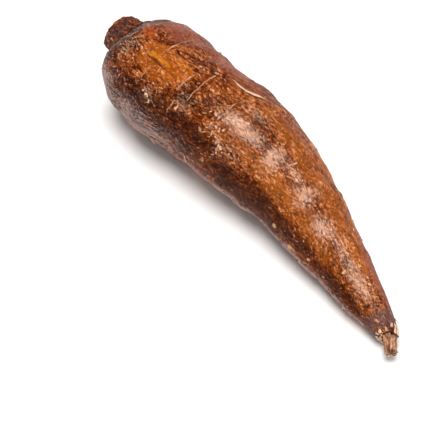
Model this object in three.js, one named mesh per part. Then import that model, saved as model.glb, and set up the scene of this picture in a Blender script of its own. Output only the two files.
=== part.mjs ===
// A whole cassava root, lying on its side as it was dug up and trimmed.
// It grew as one piece: a short woody neck where it was cut from the stem, swollen shoulders, a stout body
// that bows gently to one side, a long taper, and a snapped-off tail whose woody core stands out of the bark.
// Units are millimetres, +Z is up, +X runs from the neck to the tail, and the root rests on the plane z = 0.

import * as THREE from "three";

// ---- Driving dimensions --------------------------------------------------------------------------------

// Sections along the root, from the cut neck to the snapped tail. along and aside place the middle of the
// section in plan, rise is the height of that middle over the ground, halfWidth and halfHeight are its radii.
const SECTIONS = [
  { along: -141, aside: -7.8, rise: 35.4, halfWidth: 13.2, halfHeight: 12.4 },
  { along: -136, aside: -7.6, rise: 35.4, halfWidth: 13.8, halfHeight: 13 },
  { along: -131, aside: -7.2, rise: 35, halfWidth: 14.8, halfHeight: 14 },
  { along: -127, aside: -6.5, rise: 34.5, halfWidth: 17.8, halfHeight: 16.8 },
  { along: -121, aside: -6, rise: 33.8, halfWidth: 24.2, halfHeight: 23.4 },
  { along: -110, aside: -6.8, rise: 33, halfWidth: 32.6, halfHeight: 31 },
  { along: -94, aside: -6.5, rise: 32.5, halfWidth: 35, halfHeight: 33 },
  { along: -70, aside: -4.5, rise: 32.5, halfWidth: 34.8, halfHeight: 32.8 },
  { along: -44, aside: -1, rise: 31.5, halfWidth: 33, halfHeight: 31.5 },
  { along: -18, aside: 3, rise: 30, halfWidth: 31.8, halfHeight: 30 },
  { along: 8, aside: 6, rise: 27, halfWidth: 28.2, halfHeight: 27 },
  { along: 32, aside: 6, rise: 23.5, halfWidth: 24.2, halfHeight: 23.2 },
  { along: 56, aside: 4.5, rise: 19.5, halfWidth: 20, halfHeight: 19.2 },
  { along: 78, aside: 2, rise: 16, halfWidth: 16.4, halfHeight: 15.6 },
  { along: 97, aside: -0.5, rise: 13, halfWidth: 13.4, halfHeight: 12.6 },
  { along: 112, aside: -2, rise: 11, halfWidth: 10.2, halfHeight: 9.8 },
  { along: 122, aside: -3.2, rise: 10, halfWidth: 7.8, halfHeight: 7.5 },
  { along: 128, aside: -4.2, rise: 9.5, halfWidth: 6.2, halfHeight: 6 },
  { along: 130.5, aside: -5.2, rise: 9.4, halfWidth: 4.2, halfHeight: 4.2 },
  { along: 135, aside: -8, rise: 9.2, halfWidth: 3.7, halfHeight: 3.7 },
  { along: 140, aside: -11.5, rise: 9, halfWidth: 3.5, halfHeight: 3.4 },
];

// Rounded swellings and hollows that the skin carries. along and angle place each one, where an angle of
// 0 degrees is the +Y side and 90 degrees the top; reach is its spread, and height is out of the skin.
const SWELLINGS = [
  { along: -121, angle: 30, reach: 11, height: 3.6 },
  { along: -112, angle: 150, reach: 14, height: 2 },
  { along: -98, angle: -120, reach: 18, height: 1.5 },
  { along: -52, angle: 15, reach: 15, height: -0.7 },
  { along: -26, angle: 20, reach: 22, height: 2.6 },
  { along: -46, angle: 195, reach: 18, height: -1.8 },
  { along: 60, angle: 200, reach: 24, height: 1.7 },
  { along: 60, angle: 30, reach: 16, height: -0.9 },
  { along: 46, angle: 100, reach: 14, height: 0.9 },
];

// Gentle unevenness all over: ripples of this height that fade out with the root's thickness.
const RIPPLE_HEIGHT = 0.35;
const RIPPLE_LENGTHS = [46, 29, 19];

// The root's own weight flattens it a little where it lies: it sinks by SINK, and anything within
// BEDDING of the ground is eased up onto it.
const SINK = 1.1;
const BEDDING = 1.5;

// How finely the skin is faceted.
const RINGS = 84;
const SIDES = 36;

const BARK_COLOUR = 0x8d4820;

// ---- The skin ------------------------------------------------------------------------------------------

const centreLine = new THREE.CatmullRomCurve3(
  SECTIONS.map((s) => new THREE.Vector3(s.along, s.aside, s.rise)),
  false,
  "catmullrom",
  0.5,
);
const radii = new THREE.CatmullRomCurve3(
  SECTIONS.map((s) => new THREE.Vector3(s.halfWidth, s.halfHeight, 0)),
  false,
  "catmullrom",
  0.5,
);
const thickest = Math.max(...SECTIONS.map((s) => s.halfWidth));

// The height of all swellings at a place on the skin: each is a Gaussian bell in arc lengths.
function swell(along, angle, radius) {
  let height = 0;
  for (const bell of SWELLINGS) {
    const turn = angle - THREE.MathUtils.degToRad(bell.angle);
    const around = radius * Math.atan2(Math.sin(turn), Math.cos(turn));
    const distance = Math.hypot(along - bell.along, around);
    height += bell.height * Math.exp(-((distance / bell.reach) ** 2));
  }
  return height;
}

// The height of the ripples: each wave runs round the root as it runs along it, so no ring repeats.
function ripple(along, angle) {
  let height = 0;
  RIPPLE_LENGTHS.forEach((length, i) => {
    height += Math.sin((2 * Math.PI * along) / length + (i + 2) * angle + 1.7 * i);
  });
  return RIPPLE_HEIGHT * height;
}

// A height over the ground, eased so that nothing goes below it and the join is smooth.
function bed(z) {
  if (z >= BEDDING) return z;
  return z <= -BEDDING ? 0 : (z + BEDDING) ** 2 / (4 * BEDDING);
}

// The point of the skin at share t of the way along the centre line and an angle round it.
function skinPoint(t, angle) {
  const centre = centreLine.getPoint(t);
  const radius = radii.getPoint(t);
  const ahead = centreLine.getTangent(t);
  const side = new THREE.Vector3(-ahead.y, ahead.x, 0).normalize();
  const up = new THREE.Vector3().crossVectors(ahead, side);
  const fullness = radius.x / thickest;
  const out =
    swell(centre.x, angle, radius.x) * Math.min(1, 1.6 * fullness) +
    ripple(centre.x, angle) * fullness;
  const point = centre
    .clone()
    .addScaledVector(side, (radius.x + out) * Math.cos(angle))
    .addScaledVector(up, (radius.y + out) * Math.sin(angle));
  point.z = bed(point.z - SINK);
  return point;
}

// The closed skin: rings of points from the neck to the tail, with a fan over each end face.
function skinGeometry() {
  const points = [];
  for (let i = 0; i <= RINGS; i++)
    for (let j = 0; j < SIDES; j++)
      points.push(skinPoint(i / RINGS, (2 * Math.PI * j) / SIDES));
  const faces = [];
  const at = (i, j) => i * SIDES + (j % SIDES);
  for (let i = 0; i < RINGS; i++)
    for (let j = 0; j < SIDES; j++) {
      faces.push(at(i, j), at(i, j + 1), at(i + 1, j));
      faces.push(at(i, j + 1), at(i + 1, j + 1), at(i + 1, j));
    }
  const neckFace = points.push(ringMiddle(points, 0)) - 1;
  const tailFace = points.push(ringMiddle(points, RINGS)) - 1;
  for (let j = 0; j < SIDES; j++) {
    faces.push(neckFace, at(0, j + 1), at(0, j));
    faces.push(tailFace, at(RINGS, j), at(RINGS, j + 1));
  }
  const geometry = new THREE.BufferGeometry().setFromPoints(points);
  geometry.setIndex(faces);
  geometry.computeVertexNormals();
  return geometry;
}

// The middle of one ring of points.
function ringMiddle(points, ring) {
  const middle = new THREE.Vector3();
  for (let j = 0; j < SIDES; j++) middle.add(points[ring * SIDES + j]);
  return middle.divideScalar(SIDES);
}

// ---- The object ----------------------------------------------------------------------------------------

const bark = new THREE.MeshStandardMaterial({
  name: "bark",
  color: BARK_COLOUR,
  roughness: 0.5,
  metalness: 0,
});

// The skin is moved so that the origin is under the middle of its box, on the ground.
const geometry = skinGeometry();
geometry.computeBoundingBox();
const box = geometry.boundingBox;
geometry.translate(
  -(box.min.x + box.max.x) / 2,
  -(box.min.y + box.max.y) / 2,
  -box.min.z,
);

const root = new THREE.Mesh(geometry, bark);
root.name = "cassava_root";

const cassava = new THREE.Group();
cassava.add(root);

export default cassava;
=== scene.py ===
"""A whole cassava root with waxed brown bark, lying on a pale floor.

The root is measured from its neck, where it was cut from the stem, to its snapped tail. Every shape is
first worked out in millimetres on a straightened root, where a point has a place along the root, an angle
round it (0 degrees is the +Y side and 90 degrees the top) and a height out of the skin. It is then bent
onto the root's own centre line and turned into metres.
"""

import logging
from dataclasses import dataclass
from enum import Enum, IntEnum

import bpy
import numpy as np
from mathutils import Matrix, Vector


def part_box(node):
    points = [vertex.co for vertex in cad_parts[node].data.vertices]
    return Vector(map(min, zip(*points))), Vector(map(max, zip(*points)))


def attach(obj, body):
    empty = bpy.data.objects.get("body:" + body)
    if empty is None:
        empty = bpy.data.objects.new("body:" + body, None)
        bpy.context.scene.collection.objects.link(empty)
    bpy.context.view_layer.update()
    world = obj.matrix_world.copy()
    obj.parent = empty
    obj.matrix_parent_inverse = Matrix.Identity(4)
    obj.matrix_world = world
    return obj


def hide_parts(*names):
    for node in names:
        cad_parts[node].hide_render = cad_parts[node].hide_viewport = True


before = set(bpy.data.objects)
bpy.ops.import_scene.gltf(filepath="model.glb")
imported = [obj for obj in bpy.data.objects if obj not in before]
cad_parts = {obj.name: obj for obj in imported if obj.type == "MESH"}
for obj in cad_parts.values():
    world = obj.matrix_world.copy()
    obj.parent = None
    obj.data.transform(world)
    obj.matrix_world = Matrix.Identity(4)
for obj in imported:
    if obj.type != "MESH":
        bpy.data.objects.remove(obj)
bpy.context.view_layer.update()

log = logging.getLogger("cassava")

BODY = "root"
CAD_NODE = "cassava_root"
MM = 0.001


# ---- The root's own form -------------------------------------------------------------------------------


@dataclass(frozen=True)
class Section:
    """One section of the root: where its middle lies and its two radii, in millimetres."""

    along: float
    aside: float
    rise: float
    half_width: float
    half_height: float


@dataclass(frozen=True)
class Swelling:
    """A rounded bell of skin: its place, how far it spreads and its height, in millimetres and degrees."""

    along: float
    angle: float
    reach: float
    height: float


SECTIONS = (
    Section(-141, -7.8, 35.4, 13.2, 12.4),
    Section(-136, -7.6, 35.4, 13.8, 13),
    Section(-131, -7.2, 35, 14.8, 14),
    Section(-127, -6.5, 34.5, 17.8, 16.8),
    Section(-121, -6, 33.8, 24.2, 23.4),
    Section(-110, -6.8, 33, 32.6, 31),
    Section(-94, -6.5, 32.5, 35, 33),
    Section(-70, -4.5, 32.5, 34.8, 32.8),
    Section(-44, -1, 31.5, 33, 31.5),
    Section(-18, 3, 30, 31.8, 30),
    Section(8, 6, 27, 28.2, 27),
    Section(32, 6, 23.5, 24.2, 23.2),
    Section(56, 4.5, 19.5, 20, 19.2),
    Section(78, 2, 16, 16.4, 15.6),
    Section(97, -0.5, 13, 13.4, 12.6),
    Section(112, -2, 11, 10.2, 9.8),
    Section(122, -3.2, 10, 7.8, 7.5),
    Section(128, -4.2, 9.5, 6.2, 6),
    Section(130.5, -5.2, 9.4, 4.2, 4.2),
    Section(135, -8, 9.2, 3.7, 3.7),
    Section(140, -11.5, 9, 3.5, 3.4),
)

SWELLINGS = (
    Swelling(-121, 30, 11, 3.6),
    Swelling(-112, 150, 14, 2),
    Swelling(-98, -120, 18, 1.5),
    Swelling(-52, 15, 15, -0.7),
    Swelling(-26, 20, 22, 2.6),
    Swelling(-46, 195, 18, -1.8),
    Swelling(60, 200, 24, 1.7),
    Swelling(60, 30, 16, -0.9),
    Swelling(46, 100, 14, 0.9),
)

NECK = SECTIONS[0].along
TAIL = SECTIONS[-1].along
BARK_END = 129.0


def smooth(low: float, high: float, value: np.ndarray) -> np.ndarray:
    """Ease a value from 0 at low to 1 at high, by 3 t squared less 2 t cubed.

    Args:
        low: the value that gives 0.
        high: the value that gives 1; it may be under low.
        value: the values to ease.

    Returns:
        Shares from 0 to 1.
    """
    t = np.clip((value - low) / (high - low), 0.0, 1.0)
    return t * t * (3.0 - 2.0 * t)


def bell(distance: np.ndarray, reach: float) -> np.ndarray:
    """A Gaussian bell, 1 at no distance and 0.37 at its reach."""
    return np.exp(-((distance / reach) ** 2))


@dataclass(frozen=True)
class RootForm:
    """The root without its fine relief: the bent centre line and the radii round it.

    The swellings, the ripples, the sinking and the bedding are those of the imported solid, so the two
    shapes agree. Sizes are in millimetres.
    """

    ripple_height: float = 0.35
    ripple_lengths: tuple[float, ...] = (46.0, 29.0, 19.0)
    ripple_phase: float = 1.7
    swelling_gain: float = 1.6
    sink: float = 1.1
    bedding: float = 1.5
    table_steps: int = 6000
    box_rings: int = 400
    box_sides: int = 72

    def line(self, share: np.ndarray) -> tuple[np.ndarray, np.ndarray]:
        """Follow the sections by a Catmull-Rom spline, a cubic through each four neighbours.

        Args:
            share: how far along the list of sections, from 0 to 1.

        Returns:
            The five section values there, and their slopes.
        """
        rows = np.array([[s.along, s.aside, s.rise, s.half_width, s.half_height] for s in SECTIONS])
        rows = np.vstack([2 * rows[0] - rows[1], rows, 2 * rows[-1] - rows[-2]])
        spans = len(SECTIONS) - 1
        place = np.clip(share, 0.0, 1.0) * spans
        first = np.minimum(place.astype(int), spans - 1)
        t = (place - first)[..., None]
        a, b, c, d = (rows[first + i] for i in range(4))
        start, finish = (c - a) / 2, (d - b) / 2
        square = -3 * b + 3 * c - 2 * start - finish
        cube = 2 * b - 2 * c + start + finish
        return b + start * t + square * t**2 + cube * t**3, start + 2 * square * t + 3 * cube * t**2

    def share_at(self, along: np.ndarray) -> np.ndarray:
        """The share of the sections' list at a distance along the root."""
        shares = np.linspace(0.0, 1.0, self.table_steps)
        return np.interp(along, self.line(shares)[0][:, 0], shares)

    def radius(self, along: np.ndarray) -> np.ndarray:
        """The mean radius of the section at a distance along the root."""
        values = self.line(self.share_at(along))[0]
        return (values[..., 3] + values[..., 4]) / 2

    def unevenness(self, along: np.ndarray, angle: np.ndarray, half_width: np.ndarray) -> np.ndarray:
        """Work out how far the swellings and the ripples stand out of the plain sections.

        A swelling is a Gaussian bell of the distance over the skin. A ripple is a sine that runs round the
        root as it runs along it. Both fade out with the root's thickness.

        Args:
            along: distance along the root in millimetres.
            angle: angle round it in radians.
            half_width: the section's half-width there.

        Returns:
            The height in millimetres.
        """
        fullness = half_width / max(s.half_width for s in SECTIONS)
        swells = np.zeros_like(along)
        for swelling in SWELLINGS:
            turn = angle - np.radians(swelling.angle)
            around = half_width * np.arctan2(np.sin(turn), np.cos(turn))
            swells += swelling.height * bell(np.hypot(along - swelling.along, around), swelling.reach)
        ripples = np.zeros_like(along)
        for i, length in enumerate(self.ripple_lengths):
            ripples += np.sin(2 * np.pi * along / length + (i + 2) * angle + self.ripple_phase * i)
        swells *= np.minimum(1.0, self.swelling_gain * fullness)
        return swells + self.ripple_height * ripples * fullness

    def bend(
        self, along: np.ndarray, angle: np.ndarray, height: np.ndarray, depth: np.ndarray | float = 1.0
    ) -> np.ndarray:
        """Bend places on the straightened root onto the real one.

        A point is the centre, plus the two radii times depth, plus the unevenness and the height, taken
        outward across the centre line. What would go under the ground is eased up onto it.

        Args:
            along: distance along the root in millimetres.
            angle: angle round it in radians.
            height: height out of the skin in millimetres.
            depth: share of the radius, 1 at the skin and 0 at the centre line.

        Returns:
            Points in millimetres, not yet centred.
        """
        values, slopes = self.line(self.share_at(along))
        ahead = slopes[..., :3] / np.linalg.norm(slopes[..., :3], axis=-1, keepdims=True)
        flat = np.hypot(ahead[..., 0], ahead[..., 1])
        side = np.stack([-ahead[..., 1] / flat, ahead[..., 0] / flat, 0 * flat], axis=-1)
        up = np.cross(ahead, side)
        out = self.unevenness(values[..., 0], angle, values[..., 3]) * depth + height
        wide = (values[..., 3] * depth + out) * np.cos(angle)
        high = (values[..., 4] * depth + out) * np.sin(angle)
        points = values[..., :3] + side * wide[..., None] + up * high[..., None]
        z = points[..., 2] - self.sink
        eased = np.where(z <= -self.bedding, 0.0, (z + self.bedding) ** 2 / (4 * self.bedding))
        points[..., 2] = np.where(z >= self.bedding, z, eased)
        return points

    def place(
        self, along: np.ndarray, angle: np.ndarray, height: np.ndarray, depth: np.ndarray | float = 1.0
    ) -> np.ndarray:
        """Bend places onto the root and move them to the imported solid's own place, in metres."""
        return self.bend(along, angle, height, depth) * MM + self.shift()

    def shift(self) -> np.ndarray:
        """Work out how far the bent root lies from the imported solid, in plan.

        Returns:
            The difference of the middles of their boxes in metres, with no change of height.
        """
        along, angle = np.meshgrid(
            np.linspace(NECK, TAIL, self.box_rings), np.linspace(0, 2 * np.pi, self.box_sides)
        )
        points = self.bend(along, angle, np.zeros_like(along)).reshape(-1, 3) * MM
        low, high = (np.array(corner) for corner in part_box(CAD_NODE))
        moved = (low + high - points.min(0) - points.max(0)) / 2
        return np.array([moved[0], moved[1], 0.0])


FORM = RootForm()


# ---- Noise on the straightened root --------------------------------------------------------------------


HASH_FACTORS = np.array([0x8DA6B343, 0xD8163841, 0xCB1AB31F], np.uint32)
HASH_SEED_FACTOR = 0x9E3779B1
HASH_STEPS = ((np.uint32(15), np.uint32(0x2C1B3C6D)), (np.uint32(12), np.uint32(0x297A2D39)))
HASH_LAST_SHIFT = np.uint32(15)
ALL_BITS = 0xFFFFFFFF
AXIS_SEEDS = (0, 101, 202)
SHARE_SEED = 303
NOISE_GAIN = 1.6
OCTAVE_SEED = 17


class Seed(IntEnum):
    """The seeds of the noise patterns, one for each use, so that no two patterns line up."""

    LUMPS = 1
    KNOBS = 2
    EDGES = 3
    BROAD_WANDER = 5
    FINE_WANDER = 6
    WRINKLES = 21
    NECK_RINGS = 22
    STREAKS = 23
    PLATE_BENDS = 31
    PLATES = 41
    GRAIN = 51
    WARM = 61
    BLUSH = 62
    SHADE = 63
    SCUFF = 64
    RIM = 81
    TEAR = 82
    CORE_END = 91
    CORE_STRANDS = 92
    CORE_KNOBS = 93
    STRAND_TIPS = 94
    CUT_FACE = 95
    CUT_CRACKS = 96
    CUT_RINGS = 97
    LIPS = 98
    STRIP_EDGE = 99


def scatter(corners: np.ndarray, seed: int) -> np.ndarray:
    """Hash whole-number corners into even shares from 0 to 1.

    Each coordinate is multiplied by its own large odd number, the three are mixed by exclusive or, and
    shifts and two more products spread the bits.

    Args:
        corners: whole numbers, with the three coordinates on the last axis.
        seed: a number that picks another hash.

    Returns:
        One share for each corner.
    """
    mixed = corners.astype(np.int64).astype(np.uint32) * HASH_FACTORS
    key = mixed[..., 0] ^ mixed[..., 1] ^ mixed[..., 2] ^ np.uint32((seed * HASH_SEED_FACTOR) & ALL_BITS)
    for shift, factor in HASH_STEPS:
        key = (key ^ (key >> shift)) * factor
    return (key ^ (key >> HASH_LAST_SHIFT)) / (ALL_BITS + 1.0)


def scatter_three(corners: np.ndarray, seed: int) -> np.ndarray:
    """Three independent shares for each whole-number corner, on a last axis."""
    return np.stack([scatter(corners, seed + i) for i in AXIS_SEEDS], axis=-1)


def noise(points: np.ndarray, seed: int) -> np.ndarray:
    """Gradient noise: slopes hashed at the corners of unit cells, eased from one corner to the next.

    Args:
        points: coordinates in cell widths, with the three of them on the last axis.
        seed: a number that picks other slopes.

    Returns:
        Heights from -1 to 1, with one axis fewer.
    """
    floor = np.floor(points)
    inside = points - floor
    ease = inside**3 * (inside * (inside * 6 - 15) + 10)
    total = np.zeros(points.shape[:-1])
    for corner in np.ndindex(2, 2, 2):
        step = np.array(corner)
        slopes = scatter_three(floor + step, seed) * 2 - 1
        share = np.prod(np.where(step == 1, ease, 1 - ease), axis=-1)
        total += share * np.sum(slopes * (inside - step), axis=-1)
    return np.clip(total * NOISE_GAIN, -1.0, 1.0)


def cloud(points: np.ndarray, seed: int, octaves: int = 3) -> np.ndarray:
    """Several layers of noise, each twice as fine as the one before and half as strong."""
    total = sum(noise(points * 2**i, seed + OCTAVE_SEED * i) / 2**i for i in range(octaves))
    return total / (2 - 2.0 ** (1 - octaves))


def cells(points: np.ndarray, seed: int) -> tuple[np.ndarray, np.ndarray, np.ndarray]:
    """Cellular noise: one hashed centre in each unit cell.

    Args:
        points: coordinates in cell widths, with the three of them on the last axis.
        seed: a number that picks other centres.

    Returns:
        The distance to the nearest centre, the distance to the next one, and a share from 0 to 1 that is
        the same all over the nearest centre's cell.
    """
    floor = np.floor(points)
    nearest = np.full(points.shape[:-1], np.inf)
    second = nearest.copy()
    share = np.zeros_like(nearest)
    for corner in np.ndindex(3, 3, 3):
        cell = floor + np.array(corner) - 1
        centre = cell + scatter_three(cell, seed)
        distance = np.linalg.norm(points - centre, axis=-1)
        closer = distance < nearest
        second = np.where(closer, nearest, np.minimum(second, distance))
        share = np.where(closer, scatter(cell, seed + SHARE_SEED), share)
        nearest = np.where(closer, distance, nearest)
    return nearest, second, share


# ---- Marks on the bark ---------------------------------------------------------------------------------


class Tone(Enum):
    """The tones laid on the bark, in the order in which they lie over each other. Some are partly painted
    light: painted shade on the lower flank, by the neck and in grooves, a painted highlight on the scuffs,
    and painted sheen and light on the rims.
    """

    WARM = "warm"
    BLUSH = "blush"
    SHADE = "shade"
    BLOOM = "bloom"
    OCHRE = "ochre"
    AMBER = "amber"
    RUST = "rust"
    ASH = "ash"
    SCUFF = "scuff"
    SCAR = "scar"
    DIRT = "dirt"


@dataclass(frozen=True)
class Area:
    """An ellipse of bark: its middle, its half-length along the root, its half-width and its strength."""

    along: float
    angle: float
    length: float
    width: float
    strength: float = 1.0


@dataclass(frozen=True)
class Crease:
    """A cross crease with a pale lip: its place along, the angles where it starts and ends, how high it
    stands, and how far it slants along the root from one end to the other."""

    along: float
    start: float
    end: float
    height: float = 0.45
    slant: float = 0.0


@dataclass(frozen=True)
class Dot:
    """A small round mark, a wart where its height is above 0 and a pit where it is below."""

    along: float
    angle: float
    radius: float
    height: float


AREAS = {
    # Partly painted light: the band at 125 degrees beside the highlight and the strip at 33 degrees along
    # the right rim are lightened where more light falls. The others are warmer bark.
    Tone.WARM: (
        Area(34, 68, 80, 11, 0.9),
        Area(-30, 88, 28, 9, 0.5),
        Area(30, 125, 70, 9, 0.85),
        Area(40, 33, 44, 8),
        Area(20, -60, 60, 16, 0.8),
    ),
    Tone.BLUSH: (
        Area(-98, 55, 28, 17),
        Area(-52, 52, 30, 11, 0.8),
        Area(8, 58, 40, 7, 0.5),
        Area(96, 48, 30, 6, 0.7),
        Area(-40, 260, 50, 14, 0.7),
    ),
    # Painted shade: the first four areas darken the lower flank and the next two the shoulders by the neck,
    # where less light falls. The others darken the bark.
    Tone.SHADE: (
        Area(-62, 154, 44, 12),
        Area(16, 167, 40, 10.5),
        Area(50, 158, 26, 6),
        Area(96, 156, 28, 5),
        Area(-118, 50, 12, 18, 0.9),
        Area(-118, 122, 12, 18),
        Area(40, 76, 9, 5, 0.5),
        Area(-38, 112, 14, 10, 0.5),
        Area(-50, -40, 40, 12, 0.6),
    ),
    # Partly painted reflection: the two strips at 200 and 203 degrees paint the pale floor's sheen along
    # the lower rim. The head's flank areas are pale dusty bark, lightened by painted light as well; the
    # last is dusty bark.
    Tone.BLOOM: (
        Area(-110, 176, 14, 13),
        Area(-80, 187, 34, 13),
        Area(-10, 203, 44, 6),
        Area(66, 200, 54, 5),
        Area(-60, -25, 50, 10, 0.5),
    ),
    Tone.OCHRE: (
        Area(-80, 108, 21, 12),
        Area(-20, -75, 14, 8, 0.7),
    ),
    Tone.AMBER: (
        Area(-90, 108, 5, 2.2),
        Area(-83, 107, 8, 1.7),
        Area(-70, 96, 8, 3, 0.5),
    ),
    Tone.RUST: (
        Area(-106, 93, 9, 3.6),
    ),
    Tone.ASH: (
        Area(122, 95, 5.5, 40),
        Area(-135, 120, 9, 20, 0.6),
        Area(-140, 150, 6, 8, 0.7),
    ),
    # Painted highlight: the pale colour of these scuffs stands in for the lamp's broken shine on the wax,
    # which is thicker on them as well.
    Tone.SCUFF: (
        Area(-15, 107, 15, 5),
        Area(-16, 84, 12, 5, 0.5),
        Area(10, 108, 6, 9, 0.9),
        Area(24, 96, 12, 3.5, 0.6),
        Area(39, 103, 6, 8, 0.8),
        Area(61, 106, 7, 6, 0.9),
        Area(74, 97, 12, 3, 0.6),
        Area(97, 100, 16, 4.5, 0.8),
        Area(-74, 143, 5, 4, 0.6),
        Area(-53, 127, 6, 5, 0.6),
        Area(-108, 118, 5, 8, 0.5),
        Area(-12, 136, 10, 7, 0.5),
    ),
    # Partly painted shade: the crevice round the neck at -127.5 and the two areas on the lower flank darken
    # where less light falls. The others are dark marks on the bark.
    Tone.DIRT: (
        Area(-84, 112, 8, 1.1),
        Area(-127.5, 100, 2.4, 40, 0.7),
        Area(-55, 122, 6, 5, 0.7),
        Area(18, 160, 40, 9, 0.45),
        Area(-70, 152, 40, 8, 0.35),
        Area(-30, 140, 10, 5, 0.5),
    ),
}

CREASES = (
    Crease(-84.5, 60, 105, 0.32),
    Crease(-84, 118, 134, 0.25),
    Crease(-60.5, 96, 122, 0.22),
    Crease(-58, 130, 146, 0.4),
    Crease(-51.5, 80, 124, 0.4),
    Crease(-28.5, 90, 107, 0.5),
    Crease(19.5, 84, 98, 0.3),
    Crease(40, 88, 98, 0.2),
    Crease(-112, 100, 112, 0.4),
)

DOTS = (
    Dot(39, 170, 1.9, 1.1),
    Dot(54.5, 176, 2.2, 1.2),
    Dot(69, 164, 1.3, 0.7),
    Dot(110.5, 93, 0.9, -0.8),
    Dot(111.5, 114, 0.9, -0.8),
    Dot(-134, 146, 1.3, 0.7),
)

CHIPPED = (
    Area(-27, 128, 9, 10, 0.15),
    Area(-30, 113, 5, 5, 0.15),
    Area(-58, 82, 9, 6, 0.2),
    Area(-106, 44, 9, 5, 0.3),
    Area(66, 104, 9, 8, 0.2),
    Area(100, 104, 16, 8, 0.15),
    Area(-110, 115, 9, 12, 0.25),
    Area(-80, 108, 18, 12, 0.12),
)

DARK_FLANK = Area(-80, 180, 50, 20)


@dataclass
class Places:
    """Places on the straightened root, as arrays of one shape."""

    along: np.ndarray
    angle: np.ndarray

    def __post_init__(self) -> None:
        """Work out the mean radius and the straightened coordinates once."""
        self.radius = FORM.radius(self.along)
        self.straight = np.stack(
            [self.along, self.radius * np.cos(self.angle), self.radius * np.sin(self.angle)], axis=-1
        )

    def pick(self, chosen: np.ndarray) -> "Places":
        """The places where a mask is true, as one flat array."""
        return Places(self.along[chosen], self.angle[chosen])

    def around(self, angle: float) -> np.ndarray:
        """Arc lengths round the root from an angle in degrees."""
        turn = self.angle - np.radians(angle)
        return self.radius * np.arctan2(np.sin(turn), np.cos(turn))

    def stretched(self, length: float, width: float) -> np.ndarray:
        """The straightened coordinates in units of a length along the root and a width across it."""
        return self.straight / np.array([length, width, width])


@dataclass
class Layers:
    """The relief and the tones while they are added up, at some places.

    thick is 0 where the root is thinnest and 1 where it is thick, neck is 1 on the neck, and edges is the
    noise that makes the edges of areas uneven.
    """

    places: Places
    thick: np.ndarray
    neck: np.ndarray
    edges: np.ndarray
    height: np.ndarray
    tones: dict[Tone, np.ndarray]

    def strengthen(self, tone: Tone, strength: np.ndarray, where: np.ndarray | slice = slice(None)) -> None:
        """Make a tone at least this strong, at all places or where a mask is true."""
        self.tones[tone][where] = np.maximum(self.tones[tone][where], strength)

    def cover(self, area: Area, drifts: bool) -> np.ndarray:
        """Work out how strongly an area covers each place.

        Where it drifts into what is round it, that is a bell of the distance from its middle in its own
        half-lengths. Otherwise it is full inside the ellipse and eased to nothing at its edge. Noise makes
        the distance uneven.

        Args:
            area: the area.
            drifts: whether it has a soft edge.

        Returns:
            Shares from 0 to the area's strength.
        """
        places = self.places
        spread = np.hypot((places.along - area.along) / area.length, places.around(area.angle) / area.width)
        if drifts:
            return area.strength * bell(spread + 0.3 * self.edges, 1.15)
        return area.strength * smooth(1.15, 0.8, spread + 0.4 * self.edges)


@dataclass(frozen=True)
class Furrows:
    """A net of grooves: how long and wide its meshes are, how far they bend, and how broad a groove is."""

    length: float
    width: float
    bend: float
    breadth: float
    seed: Seed

    def work_out(self, layers: Layers) -> np.ndarray:
        """1 along each line where stretched noise changes sign, eased to 0 on both sides of it."""
        bent = layers.places.stretched(self.length, self.width) + self.bend * layers.edges[..., None]
        return smooth(self.breadth, 0.0, np.abs(noise(bent, self.seed)))


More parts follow.
